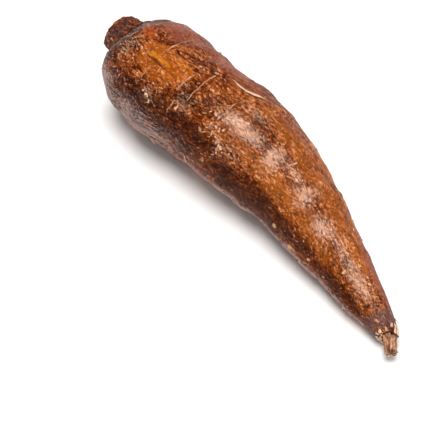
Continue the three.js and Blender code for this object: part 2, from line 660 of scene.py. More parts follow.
@dataclass(frozen=True)
class BarkRelief:
    """The fine relief of the bark and the tones that go with it.

    The heights and depths of its layers come first, then the length along the root and the width across it
    of the pattern in each, all in millimetres. The number of chance marks is for the whole root.
    """

    fill: float = 0.25
    lump: float = 0.45
    knob: float = 0.3
    neck_knob: float = 0.8
    wrinkle: float = 0.34
    neck_ring: float = 0.6
    streak: float = 0.25
    plate: float = 0.28
    grain: float = 0.13
    worn_away: float = 0.22
    lump_size: tuple[float, float] = (26.0, 18.0)
    knob_size: tuple[float, float] = (9.0, 6.0)
    edge_size: tuple[float, float] = (6.0, 4.0)
    plate_size: tuple[float, float] = (6.5, 3.2)
    plate_bend_size: tuple[float, float] = (5.0, 3.0)
    grain_size: tuple[float, float] = (3.2, 1.7)
    drift_size: tuple[float, float] = (34.0, 17.0)
    wrinkles: Furrows = Furrows(24.0, 3.4, 0.25, 0.26, Seed.WRINKLES)
    neck_rings: Furrows = Furrows(3.6, 12.0, 0.4, 0.25, Seed.NECK_RINGS)
    streaks: Furrows = Furrows(8.0, 2.0, 0.3, 0.16, Seed.STREAKS)
    drifting: tuple[Tone, ...] = (Tone.WARM, Tone.BLUSH, Tone.SHADE, Tone.SCUFF, Tone.BLOOM, Tone.ASH)
    chance_drifts: tuple[tuple[Tone, Seed], ...] = (
        (Tone.WARM, Seed.WARM),
        (Tone.BLUSH, Seed.BLUSH),
        (Tone.SHADE, Seed.SHADE),
        (Tone.SCUFF, Seed.SCUFF),
    )
    chance_creases: int = 46
    chance_dots: int = 26
    chance_seed: int = 11
    chips_everywhere: float = 0.012
    crease_reach: float = 7.0
    lip_breadth: float = 0.8
    groove_away: float = 1.5

    def chance_marks(self) -> tuple[tuple[Crease, ...], tuple[Dot, ...]]:
        """Scatter creases and dots by chance, over the sides where no set ones lie.

        Returns:
            The creases and the dots.
        """
        chance = np.random.default_rng(self.chance_seed)
        creases = []
        for along in chance.uniform(-124, 118, self.chance_creases):
            start = chance.uniform(168, 330)
            end = start + chance.uniform(10, 42)
            creases.append(Crease(along, start, end, chance.uniform(0.15, 0.4), chance.uniform(-2, 2)))
        dots = []
        for along in chance.uniform(-126, 122, self.chance_dots):
            height = chance.choice([0.6, -0.5]) * chance.uniform(0.5, 1.0)
            dots.append(Dot(along, chance.uniform(170, 420), chance.uniform(0.7, 1.4), height))
        return tuple(creases), tuple(dots)

    def wander(self, angle: np.ndarray, radius: np.ndarray, crease: Crease) -> np.ndarray:
        """Work out how far a crease strays along the root as it runs round it.

        That is its slant times the share of the way, plus broad and fine noise on the circle it runs on.

        Args:
            angle: angles round the root in radians.
            radius: the root's radius there.
            crease: the crease.

        Returns:
            Distances along the root in millimetres.
        """
        circle = np.stack(
            [np.full_like(angle, crease.along), radius * np.cos(angle), radius * np.sin(angle)], axis=-1
        )
        turn = np.degrees(angle) - (crease.start + crease.end) / 2
        share = ((turn + 180) % 360 - 180) / (crease.end - crease.start)
        broad = 0.9 * noise(circle / 7, Seed.BROAD_WANDER)
        return crease.slant * share + broad + 0.4 * noise(circle / 2.5, Seed.FINE_WANDER)

    def crease(self, places: Places, crease: Crease) -> tuple[np.ndarray, np.ndarray, np.ndarray]:
        """Work out a crease: a Gaussian lip across the root with a groove on its tail side.

        Args:
            places: where to work it out.
            crease: its place and size.

        Returns:
            Its height, its pale share and its dark share, which makes the groove dirty and paints shade in
            it.
        """
        middle = (crease.start + crease.end) / 2
        half = (crease.end - crease.start) / 2
        turn = np.degrees(places.angle) - middle
        share = ((turn + 180) % 360 - 180) / half
        window = smooth(1.0, 0.8, np.abs(share))
        away = places.along - crease.along - self.wander(places.angle, places.radius, crease)
        lip = bell(away, self.lip_breadth) * window
        groove = bell(away - self.groove_away, self.lip_breadth) * window
        return crease.height * (lip - 0.8 * groove), 0.6 * lip * crease.height, 0.45 * groove

    def dot(self, places: Places, dot: Dot) -> np.ndarray:
        """How far inside a dot each place is: a flat-topped bell of the distance from its middle."""
        away = np.hypot(places.along - dot.along, places.around(dot.angle))
        return np.exp(-((away / dot.radius) ** 4))

    def start(self, places: Places) -> Layers:
        """Start the layers at some places, at the height that fills the bark out, with no tones.

        Args:
            places: the places.

        Returns:
            The layers.
        """
        return Layers(
            places=places,
            thick=smooth(3.0, 16.0, places.radius),
            neck=smooth(-120.0, -129.0, places.along),
            edges=cloud(places.stretched(*self.edge_size), Seed.EDGES),
            height=np.full_like(places.along, self.fill),
            tones={tone: np.zeros_like(places.along) for tone in Tone},
        )

    def add_lumps(self, layers: Layers) -> None:
        """Add broad lumps and smaller knobs, both clouds of noise. The knobs are highest on the neck.

        Args:
            layers: the layers to add to.
        """
        places = layers.places
        layers.height += self.lump * layers.thick * cloud(places.stretched(*self.lump_size), Seed.LUMPS)
        knob = self.knob * layers.thick + self.neck_knob * layers.neck
        layers.height += knob * cloud(places.stretched(*self.knob_size), Seed.KNOBS, 2)

    def add_grooves(self, layers: Layers) -> None:
        """Sink wrinkles along the body, rings round the neck and short streaks into the dark flank.

        The wrinkles are deeper and darker on the flank than elsewhere. All of them are dirty and darkened
        by painted shade.

        Args:
            layers: the layers to add to.
        """
        flank = layers.cover(DARK_FLANK, drifts=True)
        wrinkle = self.wrinkles.work_out(layers)
        ring = self.neck_rings.work_out(layers)
        streak = self.streaks.work_out(layers)
        layers.height -= self.wrinkle * (0.5 + 0.9 * flank) * wrinkle * layers.thick * (1 - layers.neck)
        layers.height -= self.neck_ring * ring * layers.neck
        layers.height -= self.streak * streak * flank
        dirt = 0.35 * wrinkle * (0.5 + 1.5 * flank) + 0.5 * ring * layers.neck + streak * flank
        layers.tones[Tone.DIRT] += dirt

    def add_plates(self, layers: Layers) -> np.ndarray:
        """Add the scales that the cork splits into, and a fine grain on them.

        Each plate is a cell of bent cellular noise with a height of its own, and has a dirty groove round
        it, darkened by painted shade as well. The grain is a cloud of noise.

        Args:
            layers: the layers to add to.

        Returns:
            A share from 0 to 1 that is the same all over one plate.
        """
        places = layers.places
        bend = noise(places.stretched(*self.plate_bend_size), Seed.PLATE_BENDS)
        bent = places.stretched(*self.plate_size) + 0.5 * bend[..., None]
        nearest, second, share = cells(bent, Seed.PLATES)
        inside = smooth(0.0, 0.16, second - nearest)
        level = (share - 0.5) * inside - 0.35 * (1 - inside)
        layers.height += self.plate * (0.35 + 0.65 * layers.thick) * level
        layers.tones[Tone.DIRT] += 0.3 * (1 - inside)
        layers.height += self.grain * cloud(places.stretched(*self.grain_size), Seed.GRAIN, 2)
        return share

    def add_areas(self, layers: Layers) -> None:
        """Colour the set areas and the chance drifts, and wear the skin down where it is ochre.

        A chance drift is where a broad cloud of noise is high. Scuffs drift only over the underside, since
        the set ones are on top.

        Args:
            layers: the layers to add to.
        """
        for tone, areas in AREAS.items():
            for area in areas:
                layers.strengthen(tone, layers.cover(area, drifts=tone in self.drifting))
        under = smooth(0.1, -0.3, np.sin(layers.places.angle))
        for tone, seed in self.chance_drifts:
            drift = smooth(0.25, 0.6, cloud(layers.places.stretched(*self.drift_size), seed))
            layers.strengthen(tone, 0.6 * drift * (under if tone is Tone.SCUFF else 1.0))
        layers.height -= self.worn_away * smooth(0.4, 0.7, layers.tones[Tone.OCHRE])

    def add_marks(self, layers: Layers) -> None:
        """Add the set and chance creases, whose lips are pale, and the warts and pits.

        Args:
            layers: the layers to add to.
        """
        places = layers.places
        chance_creases, chance_dots = self.chance_marks()
        for crease in CREASES + chance_creases:
            near = np.abs(places.along - crease.along) < self.crease_reach
            raised, pale, dark = self.crease(places.pick(near), crease)
            layers.height[near] += raised * (0.4 + 0.6 * layers.thick[near])
            layers.strengthen(Tone.SCAR, 0.9 * pale, near)
            # The groove beside each lip is darkened: dirt and painted shade.
            layers.strengthen(Tone.DIRT, dark, near)
        for dot in DOTS + chance_dots:
            near = np.abs(places.along - dot.along) < 2 * dot.radius
            inside = self.dot(places.pick(near), dot)
            layers.height[near] += dot.height * inside
            # Warts are pale; pits are darkened with dirt and painted shade.
            layers.strengthen(Tone.SCAR if dot.height > 0 else Tone.DIRT, 0.85 * inside, near)

    def work_out(self, places: Places) -> tuple[np.ndarray, dict[str, np.ndarray]]:
        """Add up every layer of the relief.

        Args:
            places: where to work the relief out.

        Returns:
            The height in millimetres, and the strength of each tone, the plates' shares and the share of
            the bark that is chipped, by name.
        """
        layers = self.start(places)
        self.add_lumps(layers)
        self.add_grooves(layers)
        plates = self.add_plates(layers)
        self.add_areas(layers)
        self.add_marks(layers)
        masks = {tone.value: np.clip(strength, 0.0, 1.0) for tone, strength in layers.tones.items()}
        masks["plate"] = plates
        chips = self.chips_everywhere + sum(layers.cover(area, drifts=False) for area in CHIPPED)
        masks["chips"] = np.clip(chips, 0.0, 1.0)
        return layers.height, masks


RELIEF = BarkRelief()


# ---- Meshes from grids ---------------------------------------------------------------------------------


def tube_faces(rings: int, sides: int) -> list[np.ndarray]:
    """The faces of a closed tube: quads between its rings and a fan from a pole at each end.

    They face out where the rings run along the tube's own axis. The two poles come after the rings.

    Args:
        rings: how many rings there are.
        sides: how many points each ring has.

    Returns:
        Rows of four point numbers, and rows of three.
    """
    ring, side = np.meshgrid(np.arange(rings - 1), np.arange(sides), indexing="ij")
    here = ring * sides + side
    beside = ring * sides + (side + 1) % sides
    quads = np.stack([here, beside, beside + sides, here + sides], axis=-1).reshape(-1, 4)
    first, last = np.arange(sides), (rings - 1) * sides + np.arange(sides)
    poles = [np.full(sides, rings * sides), np.full(sides, rings * sides + 1)]
    fans = [np.stack([poles[0], np.roll(first, -1), first], axis=-1),
            np.stack([poles[1], last, np.roll(last, -1)], axis=-1)]
    return [quads, np.concatenate(fans)]


def with_poles(values: np.ndarray) -> np.ndarray:
    """Flatten values given by ring and side, and add the means of the first and last ring for the poles."""
    flat = values.reshape(-1, *values.shape[2:])
    return np.concatenate([flat, values[:1].mean(axis=1), values[-1:].mean(axis=1)])


def sheet_faces(count: int, columns: int, rows: int) -> np.ndarray:
    """The quads of thin closed sheets: a top, a bottom and a wall round each.

    The points of one sheet are its top, by column and row, and then its bottom in the same order. A column
    lies across the sheet, and the way from column to column and then from row to row turns as the way
    along the root and round it does.

    Args:
        count: how many sheets there are.
        columns: how many points one has along it.
        rows: how many points one has across it.

    Returns:
        Rows of four point numbers.
    """
    below = columns * rows
    at = np.arange(below).reshape(columns, rows)
    top = np.stack([at[:-1, :-1], at[:-1, 1:], at[1:, 1:], at[1:, :-1]], axis=-1).reshape(-1, 4)
    borders = np.concatenate([
        np.stack([at[:-1, 0], at[1:, 0]], axis=-1), np.stack([at[1:, -1], at[:-1, -1]], axis=-1),
        np.stack([at[0, 1:], at[0, :-1]], axis=-1), np.stack([at[-1, :-1], at[-1, 1:]], axis=-1),
    ])
    walls = np.concatenate([borders, borders[:, ::-1] + below], axis=1)
    one = np.concatenate([top, top[:, ::-1] + below, walls])
    return (one + 2 * below * np.arange(count)[:, None, None]).reshape(-1, 4)


def make_piece(name: str, points: np.ndarray, faces: list[np.ndarray], material: bpy.types.Material,
               floats: dict[str, np.ndarray] | None = None, vectors: dict[str, np.ndarray] | None = None
               ) -> bpy.types.Object:
    """Put points and faces into a smooth-shaded mesh with its attributes, and let it ride on the root.

    Args:
        name: the piece's name.
        points: its points in metres.
        faces: arrays of faces, one array for each number of corners.
        material: what it is made of.
        floats: one number for each point, by attribute name.
        vectors: three numbers for each point, by attribute name.

    Returns:
        The piece.
    """
    points = points.reshape(-1, 3)
    sizes = np.concatenate([np.full(len(rows), rows.shape[1]) for rows in faces])
    mesh = bpy.data.meshes.new(name)
    mesh.vertices.add(len(points))
    mesh.loops.add(int(sizes.sum()))
    mesh.polygons.add(len(sizes))
    mesh.vertices.foreach_set("co", points.astype(np.float32).ravel())
    corners = np.concatenate([rows.ravel() for rows in faces])
    mesh.loops.foreach_set("vertex_index", corners.astype(np.int32))
    mesh.polygons.foreach_set("loop_start", (np.cumsum(sizes) - sizes).astype(np.int32))
    mesh.update(calc_edges=True)
    for title, values in (floats or {}).items():
        attribute = mesh.attributes.new(title, "FLOAT", "POINT")
        attribute.data.foreach_set("value", values.astype(np.float32).ravel())
    for title, values in (vectors or {}).items():
        attribute = mesh.attributes.new(title, "FLOAT_VECTOR", "POINT")
        attribute.data.foreach_set("vector", values.astype(np.float32).ravel())
    mesh.polygons.foreach_set("use_smooth", np.ones(len(mesh.polygons), bool))
    mesh.materials.append(material)
    piece = bpy.data.objects.new(name, mesh)
    bpy.context.scene.collection.objects.link(piece)
    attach(piece, BODY)
    log.info("%s: %d points, %d faces", name, len(mesh.vertices), len(mesh.polygons))
    return piece


# ---- Finishes ------------------------------------------------------------------------------------------


def linear(colour: str) -> tuple[float, float, float, float]:
    """Turn an sRGB hex colour into linear light.

    Each channel over 0.04045 is moved and scaled and raised to the power 2.4, and each one under it is
    divided by 12.92, which is the sRGB curve.

    Args:
        colour: a hash sign and six hex digits.

    Returns:
        Red, green and blue light, and full alpha.
    """
    shares = np.array([int(colour[i : i + 2], 16) / 255 for i in (1, 3, 5)])
    light = np.where(shares <= 0.04045, shares / 12.92, ((shares + 0.055) / 1.055) ** 2.4)
    return (*light.tolist(), 1.0)


def add(tree: bpy.types.NodeTree, kind: str, links: dict | None = None, values: dict | None = None,
        stops: tuple[tuple[float, str], ...] = (), **settings: object) -> bpy.types.Node:
    """Add a node with its settings, its input values and the links into it.

    Args:
        tree: the material's node tree.
        kind: the node's type.
        links: output sockets to link, by input name or number.
        values: input values, by input name or number.
        stops: a colour ramp's stops, each a place from 0 to 1 and an sRGB hex colour.
        settings: the node's own properties.

    Returns:
        The node.
    """
    made = tree.nodes.new(kind)
    for name, value in settings.items():
        setattr(made, name, value)
    for name, value in (values or {}).items():
        made.inputs[name].default_value = value
    for name, socket in (links or {}).items():
        tree.links.new(socket, made.inputs[name])
    for i, (place, colour) in enumerate(stops):
        element = made.color_ramp.elements[i] if i < 2 else made.color_ramp.elements.new(place)
        element.position = place
        element.color = linear(colour)
    return made


@dataclass(frozen=True)
class Grain:
    """A noise pattern: how long its blotches are along the root and how wide across it, in millimetres."""

    length: float
    width: float
    detail: float = 3.0
    roughness: float = 0.6

    @property
    def scale(self) -> tuple[float, float, float]:
        """The mapping that turns metres on the straightened root into blotches."""
        return (1 / (self.length * MM), 1 / (self.width * MM), 1 / (self.width * MM))


class Finish:
    """What all finishes here share: an empty material and grains laid on the straightened root."""

    name = "plain"
    grains: dict[str, Grain] = {}

    def start(self) -> tuple[bpy.types.Material, bpy.types.NodeTree]:
        """Make an empty node material with the finish's name.

        Returns:
            The material and its tree.
        """
        material = bpy.data.materials.new(self.name)
        material.use_nodes = True
        material.node_tree.nodes.clear()
        return material, material.node_tree

    def lay_grains(
        self, tree: bpy.types.NodeTree, coordinate: bpy.types.NodeSocket
    ) -> dict[str, bpy.types.NodeSocket]:
        """Lay each grain on a coordinate in metres.

        Args:
            tree: the material's node tree.
            coordinate: the socket with the coordinate.

        Returns:
            Noise about 0.5, by the grain's name.
        """
        sockets = {}
        for name, grain in self.grains.items():
            mapped = add(tree, "ShaderNodeMapping", {"Vector": coordinate}, {"Scale": grain.scale})
            noisy = add(tree, "ShaderNodeTexNoise", {"Vector": mapped.outputs[0]},
                        {"Scale": 1.0, "Detail": grain.detail, "Roughness": grain.roughness})
            sockets[name] = noisy.outputs["Fac"]
        return sockets

    def weigh(
        self,
        tree: bpy.types.NodeTree,
        shares: tuple[tuple[bpy.types.NodeSocket, float], ...],
        offset: float,
    ) -> bpy.types.NodeSocket:
        """Add up sockets times their weights, and an offset.

        Args:
            tree: the material's node tree.
            shares: each socket and its weight.
            offset: what is added to the sum.

        Returns:
            The socket with the sum.
        """
        (socket, weight), *others = shares
        total = add(tree, "ShaderNodeMath", {0: socket}, {1: weight, 2: offset}, operation="MULTIPLY_ADD")
        for socket, weight in others:
            total = add(tree, "ShaderNodeMath", {0: socket, 2: total.outputs[0]}, {1: weight},
                        operation="MULTIPLY_ADD")
        return total.outputs[0]


@dataclass(frozen=True)
class ToneLook:
    """How one tone looks on the bark.

    share is how much of its colour shows, lift is how far it lifts or sinks the bark's own shades, and fray
    is how much fine noise breaks up its edge.
    """

    colour: str
    share: float
    lift: float
    fray: float


class WaxedBark(Finish):
    """Corky cassava bark under paraffin wax, as on roots packed for shipping.

    The cork gives brown fibres and scales 1 to 9 mm long, with dark cracks between them. Its finest fibres
    are 0.2 mm wide and would not show, so they are drawn 0.85 mm wide, and its finest threads 0.7 mm wide.
    The wax has soaked in, so most of the bark has only a dim gloss, tinted orange. Where the root was
    rubbed, the wax lies on top and gives a clear, broken shine, and the pale colour of those scuffs is a
    painted highlight.
    """

    name = "paraffin_waxed_cassava_cork"
    grains = {
        "fibre": Grain(2.8, 0.85, 4.0, 0.7),
        "mottle": Grain(8.0, 3.6, 4.0, 0.6),
        "broad": Grain(40.0, 22.0, 2.0),
        "fray": Grain(2.6, 1.0, 3.0, 0.65),
        "fine": Grain(1.5, 0.7, 3.0, 0.7),
    }
    cells = {
        "scale": (Grain(2.1, 1.3), "F1"),
        "crack": (Grain(5.0, 2.8), "DISTANCE_TO_EDGE"),
        "chip": (Grain(3.2, 1.1), "F1"),
    }
    bends = Grain(5.0, 5.0, 2.0)
    bend_length = 3.0
    stops = (
        (0.0, "#1e0701"), (0.22, "#4c1a04"), (0.4, "#75300b"), (0.55, "#964818"), (0.72, "#bb682e"),
        (0.95, "#f0b689"),
    )
    level = -1.84
    looks = (
        # The warm tone also paints light on the right rim and beside the highlight.
        (Tone.WARM, ToneLook("#b36020", 0.42, 0.12, 0.9)),
        (Tone.BLUSH, ToneLook("#934f3d", 0.72, 0.0, 0.9)),
        # This tone is partly painted shade: it darkens the lower flank and the shoulders by the neck.
        (Tone.SHADE, ToneLook("#3f1605", 0.4, -0.23, 0.7)),
        # This tone is partly a painted reflection: the floor's sheen along the lower rim.
        (Tone.BLOOM, ToneLook("#b7a09b", 0.65, 0.08, 2.8)),
        (Tone.OCHRE, ToneLook("#c26310", 0.4, 0.09, 1.0)),
        (Tone.AMBER, ToneLook("#cc7c14", 0.55, 0.12, 0.6)),
        (Tone.RUST, ToneLook("#a4400f", 0.7, 0.07, 0.15)),
        (Tone.ASH, ToneLook("#5f4a48", 0.65, -0.12, 0.9)),
        # The scuffs' pale colour is a painted highlight.
        (Tone.SCUFF, ToneLook("#e0ae8c", 0.45, 0.12, 3.0)),
        (Tone.SCAR, ToneLook("#dcae8a", 0.75, 0.1, 0.8)),
        # Dirt and painted shade in grooves, pits, the neck's crevice and on the lower flank.
        (Tone.DIRT, ToneLook("#1f0903", 0.55, -0.16, 0.7)),
    )
    tone_edge = (0.3, 0.8)
    chip_colour = "#e6bd9c"
    chip_sizes = (0.65, 1.0)
    crack_colour = "#2a0e04"
    crack_width = (0.02, 0.09)
    crack_strength = 0.7
    thread_width = (0.01, 0.06)
    cork_ior = 1.45
    cork_gloss = 0.18
    cork_roughness = (0.3, 0.55)
    glint_colour = "#f0a068"
    wax_ior = 1.47
    wax_roughness = 0.14
    wax_share = 0.75

    def patterns(self, tree: bpy.types.NodeTree) -> dict[str, bpy.types.NodeSocket]:
        """Lay every pattern of the cork on the straightened root, bent a little by broad noise.

        Args:
            tree: the material's node tree.

        Returns:
            The grains by name, the distance from each kind of cell's middle or edge, three chances as a
            colour that is the same all over a cell, and thin threads where the fine noise is near its
            middle.
        """
        straight = add(tree, "ShaderNodeAttribute", attribute_name="straight").outputs["Vector"]
        broad = add(tree, "ShaderNodeMapping", {"Vector": straight}, {"Scale": self.bends.scale})
        push = add(tree, "ShaderNodeTexNoise", {"Vector": broad.outputs[0]},
                   {"Scale": 1.0, "Detail": self.bends.detail})
        bent = add(tree, "ShaderNodeVectorMath", {0: push.outputs["Color"], 2: straight},
                   {1: (self.bend_length * MM,) * 3}, operation="MULTIPLY_ADD").outputs[0]
        found = self.lay_grains(tree, bent)
        for name, (grain, feature) in self.cells.items():
            mapped = add(tree, "ShaderNodeMapping", {"Vector": bent}, {"Scale": grain.scale})
            made = add(tree, "ShaderNodeTexVoronoi", {"Vector": mapped.outputs[0]}, {"Scale": 1.0},
                       feature=feature)
            for output in made.outputs:
                found[f"{name}_{output.name.lower()}"] = output
        off_middle = add(tree, "ShaderNodeMath", {0: found["fine"]}, {1: 0.5}, operation="SUBTRACT")
        off_middle = add(tree, "ShaderNodeMath", {0: off_middle.outputs[0]}, operation="ABSOLUTE")
        inner, outer = self.thread_width
        thread = add(tree, "ShaderNodeMapRange", {"Value": off_middle.outputs[0]},
                     {"From Min": inner, "From Max": outer, "To Min": 1.0, "To Max": 0.0})
        found["thread"] = thread.outputs[0]
        return found

    def toned(self, tree: bpy.types.NodeTree, found: dict[str, bpy.types.NodeSocket]
              ) -> bpy.types.NodeSocket:
        """Colour the cork: its patterns and tones pick a shade, and each tone then adds its own colour.

        Args:
            tree: the material's node tree.
            found: the cork's patterns.

        Returns:
            The colour.
        """
        plate = add(tree, "ShaderNodeAttribute", attribute_name="plate").outputs["Fac"]
        shade = self.weigh(tree, (
            (found["fibre"], 2.1), (found["scale_color"], 0.45), (found["mottle"], 1.0),
            (found["broad"], 0.5), (plate, 0.22), (found["thread"], 0.24)), self.level)
        shares = []
        for tone, look in self.looks:
            strength = add(tree, "ShaderNodeAttribute", attribute_name=tone.value).outputs["Fac"]
            frayed = add(tree, "ShaderNodeMath", {0: found["fray"], 2: strength}, {1: look.fray},
                         operation="MULTIPLY_ADD")
            low, high = (edge + look.fray * 0.5 for edge in self.tone_edge)
            share = add(tree, "ShaderNodeMapRange", {"Value": frayed.outputs[0]},
                        {"From Min": low, "From Max": high, "To Min": 0.0, "To Max": 1.0},
                        interpolation_type="SMOOTHSTEP").outputs[0]
            shares.append(share)
            shade = add(tree, "ShaderNodeMath", {0: share, 2: shade}, {1: look.lift},
                        operation="MULTIPLY_ADD").outputs[0]
        colour = add(tree, "ShaderNodeValToRGB", {"Fac": shade}, stops=self.stops).outputs["Color"]
        for share, (_, look) in zip(shares, self.looks):
            part = add(tree, "ShaderNodeMath", {0: share}, {1: look.share}, operation="MULTIPLY")
            colour = add(tree, "ShaderNodeMix", {0: part.outputs[0], 6: colour},
                         {7: linear(look.colour)}, data_type="RGBA").outputs[2]
        return colour

    def cracked(self, tree: bpy.types.NodeTree, found: dict[str, bpy.types.NodeSocket]
                ) -> bpy.types.NodeSocket:
        """Open cracks along the edges of large cells, where the mottle is high.

        Args:
            tree: the material's node tree.
            found: the cork's patterns.

        Returns:
            How open the crack is, 0 where there is none.
        """
        open_here = add(tree, "ShaderNodeMapRange", {"Value": found["mottle"]},
                        {"From Min": 0.45, "From Max": 0.6, "To Min": 0.0, "To Max": self.crack_strength})
        inner, outer = self.crack_width
        thin_line = add(tree, "ShaderNodeMapRange", {"Value": found["crack_distance"]},
                        {"From Min": inner, "From Max": outer, "To Min": 1.0, "To Max": 0.0})
        return add(tree, "ShaderNodeMath", {0: open_here.outputs[0], 1: thin_line.outputs[0]},
                   operation="MULTIPLY").outputs[0]

    def chipped(self, tree: bpy.types.NodeTree, found: dict[str, bpy.types.NodeSocket]
                ) -> tuple[bpy.types.NodeSocket, bpy.types.NodeSocket]:
        """Lift pale chips of skin: small ragged cells, picked by chance where the bark is chipped.

        Args:
            tree: the material's node tree.
            found: the cork's patterns.

        Returns:
            1 on a chip and 0 beside it, and how pale the chip is.
        """
        many = add(tree, "ShaderNodeAttribute", attribute_name="chips").outputs["Fac"]
        chance = add(tree, "ShaderNodeSeparateColor", {0: found["chip_color"]})
        chosen = add(tree, "ShaderNodeMath", {0: chance.outputs[0], 1: many}, operation="LESS_THAN")
        smallest, largest = self.chip_sizes
        size = add(tree, "ShaderNodeMath", {0: chance.outputs[1]}, {1: largest - smallest, 2: smallest},
                   operation="MULTIPLY_ADD")
        ragged = add(tree, "ShaderNodeMath", {0: found["fine"], 2: found["chip_distance"]}, {1: 1.2},
                     operation="MULTIPLY_ADD")
        close = add(tree, "ShaderNodeMath", {0: ragged.outputs[0], 1: size.outputs[0]},
                    operation="LESS_THAN")
        raised = add(tree, "ShaderNodeMath", {0: chosen.outputs[0], 1: close.outputs[0]},
                     operation="MULTIPLY").outputs[0]
        pale = add(tree, "ShaderNodeMath", {0: raised, 1: chance.outputs[2]}, operation="MULTIPLY")
        return raised, pale.outputs[0]

    def material(self) -> bpy.types.Material:
        """Build the material: toned cork, cracks, chips, and wax where the bark is scuffed.

        The cork's bumps come from its fibres, scales, chips and cracks. The wax fills them in part, so its
        own bumps are softer.

        Returns:
            The material.
        """
        material, tree = self.start()
        found = self.patterns(tree)
        colour = self.toned(tree, found)
        crack = self.cracked(tree, found)
        raised, pale = self.chipped(tree, found)
        for share, over in ((crack, self.crack_colour), (pale, self.chip_colour)):
            colour = add(tree, "ShaderNodeMix", {0: share, 6: colour}, {7: linear(over)},
                         data_type="RGBA").outputs[2]
        uneven = self.weigh(tree, (
            (found["fibre"], 1.0), (found["fine"], 0.8), (found["scale_color"], 0.3), (raised, 0.25),
            (crack, -0.6)), 0.0)
        bump = add(tree, "ShaderNodeBump", {"Height": uneven}, {"Strength": 0.7, "Distance": 0.4 * MM})
        softer = add(tree, "ShaderNodeBump", {"Height": uneven}, {"Strength": 0.38, "Distance": 0.45 * MM})
        scuff = add(tree, "ShaderNodeAttribute", attribute_name=Tone.SCUFF.value).outputs["Fac"]
        wax = add(tree, "ShaderNodeMapRange", {"Value": scuff}, {"To Min": 0.0, "To Max": self.wax_share})
        smoothest, roughest = self.cork_roughness
        rough = add(tree, "ShaderNodeMapRange", {"Value": found["mottle"]},
                    {"From Min": 0.3, "From Max": 0.7, "To Min": smoothest, "To Max": roughest})
        shader = add(tree, "ShaderNodeBsdfPrincipled",
                     {"Base Color": colour, "Roughness": rough.outputs[0], "Normal": bump.outputs[0],
                      "Coat Weight": wax.outputs[0], "Coat Normal": softer.outputs[0]},
                     {"IOR": self.cork_ior, "Specular IOR Level": self.cork_gloss,
                      "Specular Tint": linear(self.glint_colour), "Coat Roughness": self.wax_roughness,
                      "Coat IOR": self.wax_ior})
        add(tree, "ShaderNodeOutputMaterial", {"Surface": shader.outputs[0]})
        return material


class TornWood(Finish):
    """Dry woody core of the root, snapped across: stringy tan fibres with dark gaps, and no gloss.

    The strands are 0.3 mm thick and are drawn 0.8 mm thick, so that they show.
    """

    name = "dry_root_xylem"
    grains = {"strand": Grain(7.0, 0.8), "stain": Grain(4.0, 2.5)}
    stops = ((0.3, "#2a130a"), (0.4, "#6e3f27"), (0.5, "#a06a49"), (0.6, "#cc9c78"), (0.72, "#efd6b8"))
    roughness = 0.75
    ior = 1.5

    def material(self) -> bpy.types.Material:
        """Build the material from long thin noise on the straightened root.

        Returns:
            The material.
        """
        material, tree = self.start()
        straight = add(tree, "ShaderNodeAttribute", attribute_name="straight").outputs["Vector"]
        grains = self.lay_grains(tree, straight)
        shade = self.weigh(tree, ((grains["strand"], 0.5), (grains["stain"], 0.9)), -0.2)
        colour = add(tree, "ShaderNodeValToRGB", {"Fac": shade}, stops=self.stops).outputs["Color"]
        bump = add(tree, "ShaderNodeBump", {"Height": grains["strand"]},
                   {"Strength": 0.9, "Distance": 0.4 * MM})
        shader = add(tree, "ShaderNodeBsdfPrincipled", {"Base Color": colour, "Normal": bump.outputs[0]},
                     {"Roughness": self.roughness, "IOR": self.ior})
        add(tree, "ShaderNodeOutputMaterial", {"Surface": shader.outputs[0]})
        return material


class PaperySkin(Finish):
    """Loose outer skin, dried to paper: brown where it still lies flat, pale tan where it has lifted.

    It has a slight sheen, like waxed paper. Its fibres are 0.2 mm wide and are drawn 0.7 mm wide, so that
    they show.
    """

    name = "dry_papery_periderm"
    grains = {"grain": Grain(2.0, 0.7)}
    stops = ((0.0, "#3c1a0b"), (0.35, "#82431f"), (0.7, "#bd815b"), (1.0, "#e6c0a0"))
    roughness = 0.5
    ior = 1.5
    sheen_coat = 0.3
    sheen_roughness = 0.3

    def material(self) -> bpy.types.Material:
        """Build the material from each flake's own paleness and from fine noise.

        Returns:
            The material.
        """
        material, tree = self.start()
        pale = add(tree, "ShaderNodeAttribute", attribute_name="pale").outputs["Fac"]
        straight = add(tree, "ShaderNodeAttribute", attribute_name="straight").outputs["Vector"]
        shade = self.weigh(tree, ((self.lay_grains(tree, straight)["grain"], 0.8), (pale, 1.0)), -0.4)
        colour = add(tree, "ShaderNodeValToRGB", {"Fac": shade}, stops=self.stops).outputs["Color"]
        shader = add(tree, "ShaderNodeBsdfPrincipled", {"Base Color": colour},
                     {"Roughness": self.roughness, "IOR": self.ior, "Coat Weight": self.sheen_coat,
                      "Coat Roughness": self.sheen_roughness})
        add(tree, "ShaderNodeOutputMaterial", {"Surface": shader.outputs[0]})
        return material


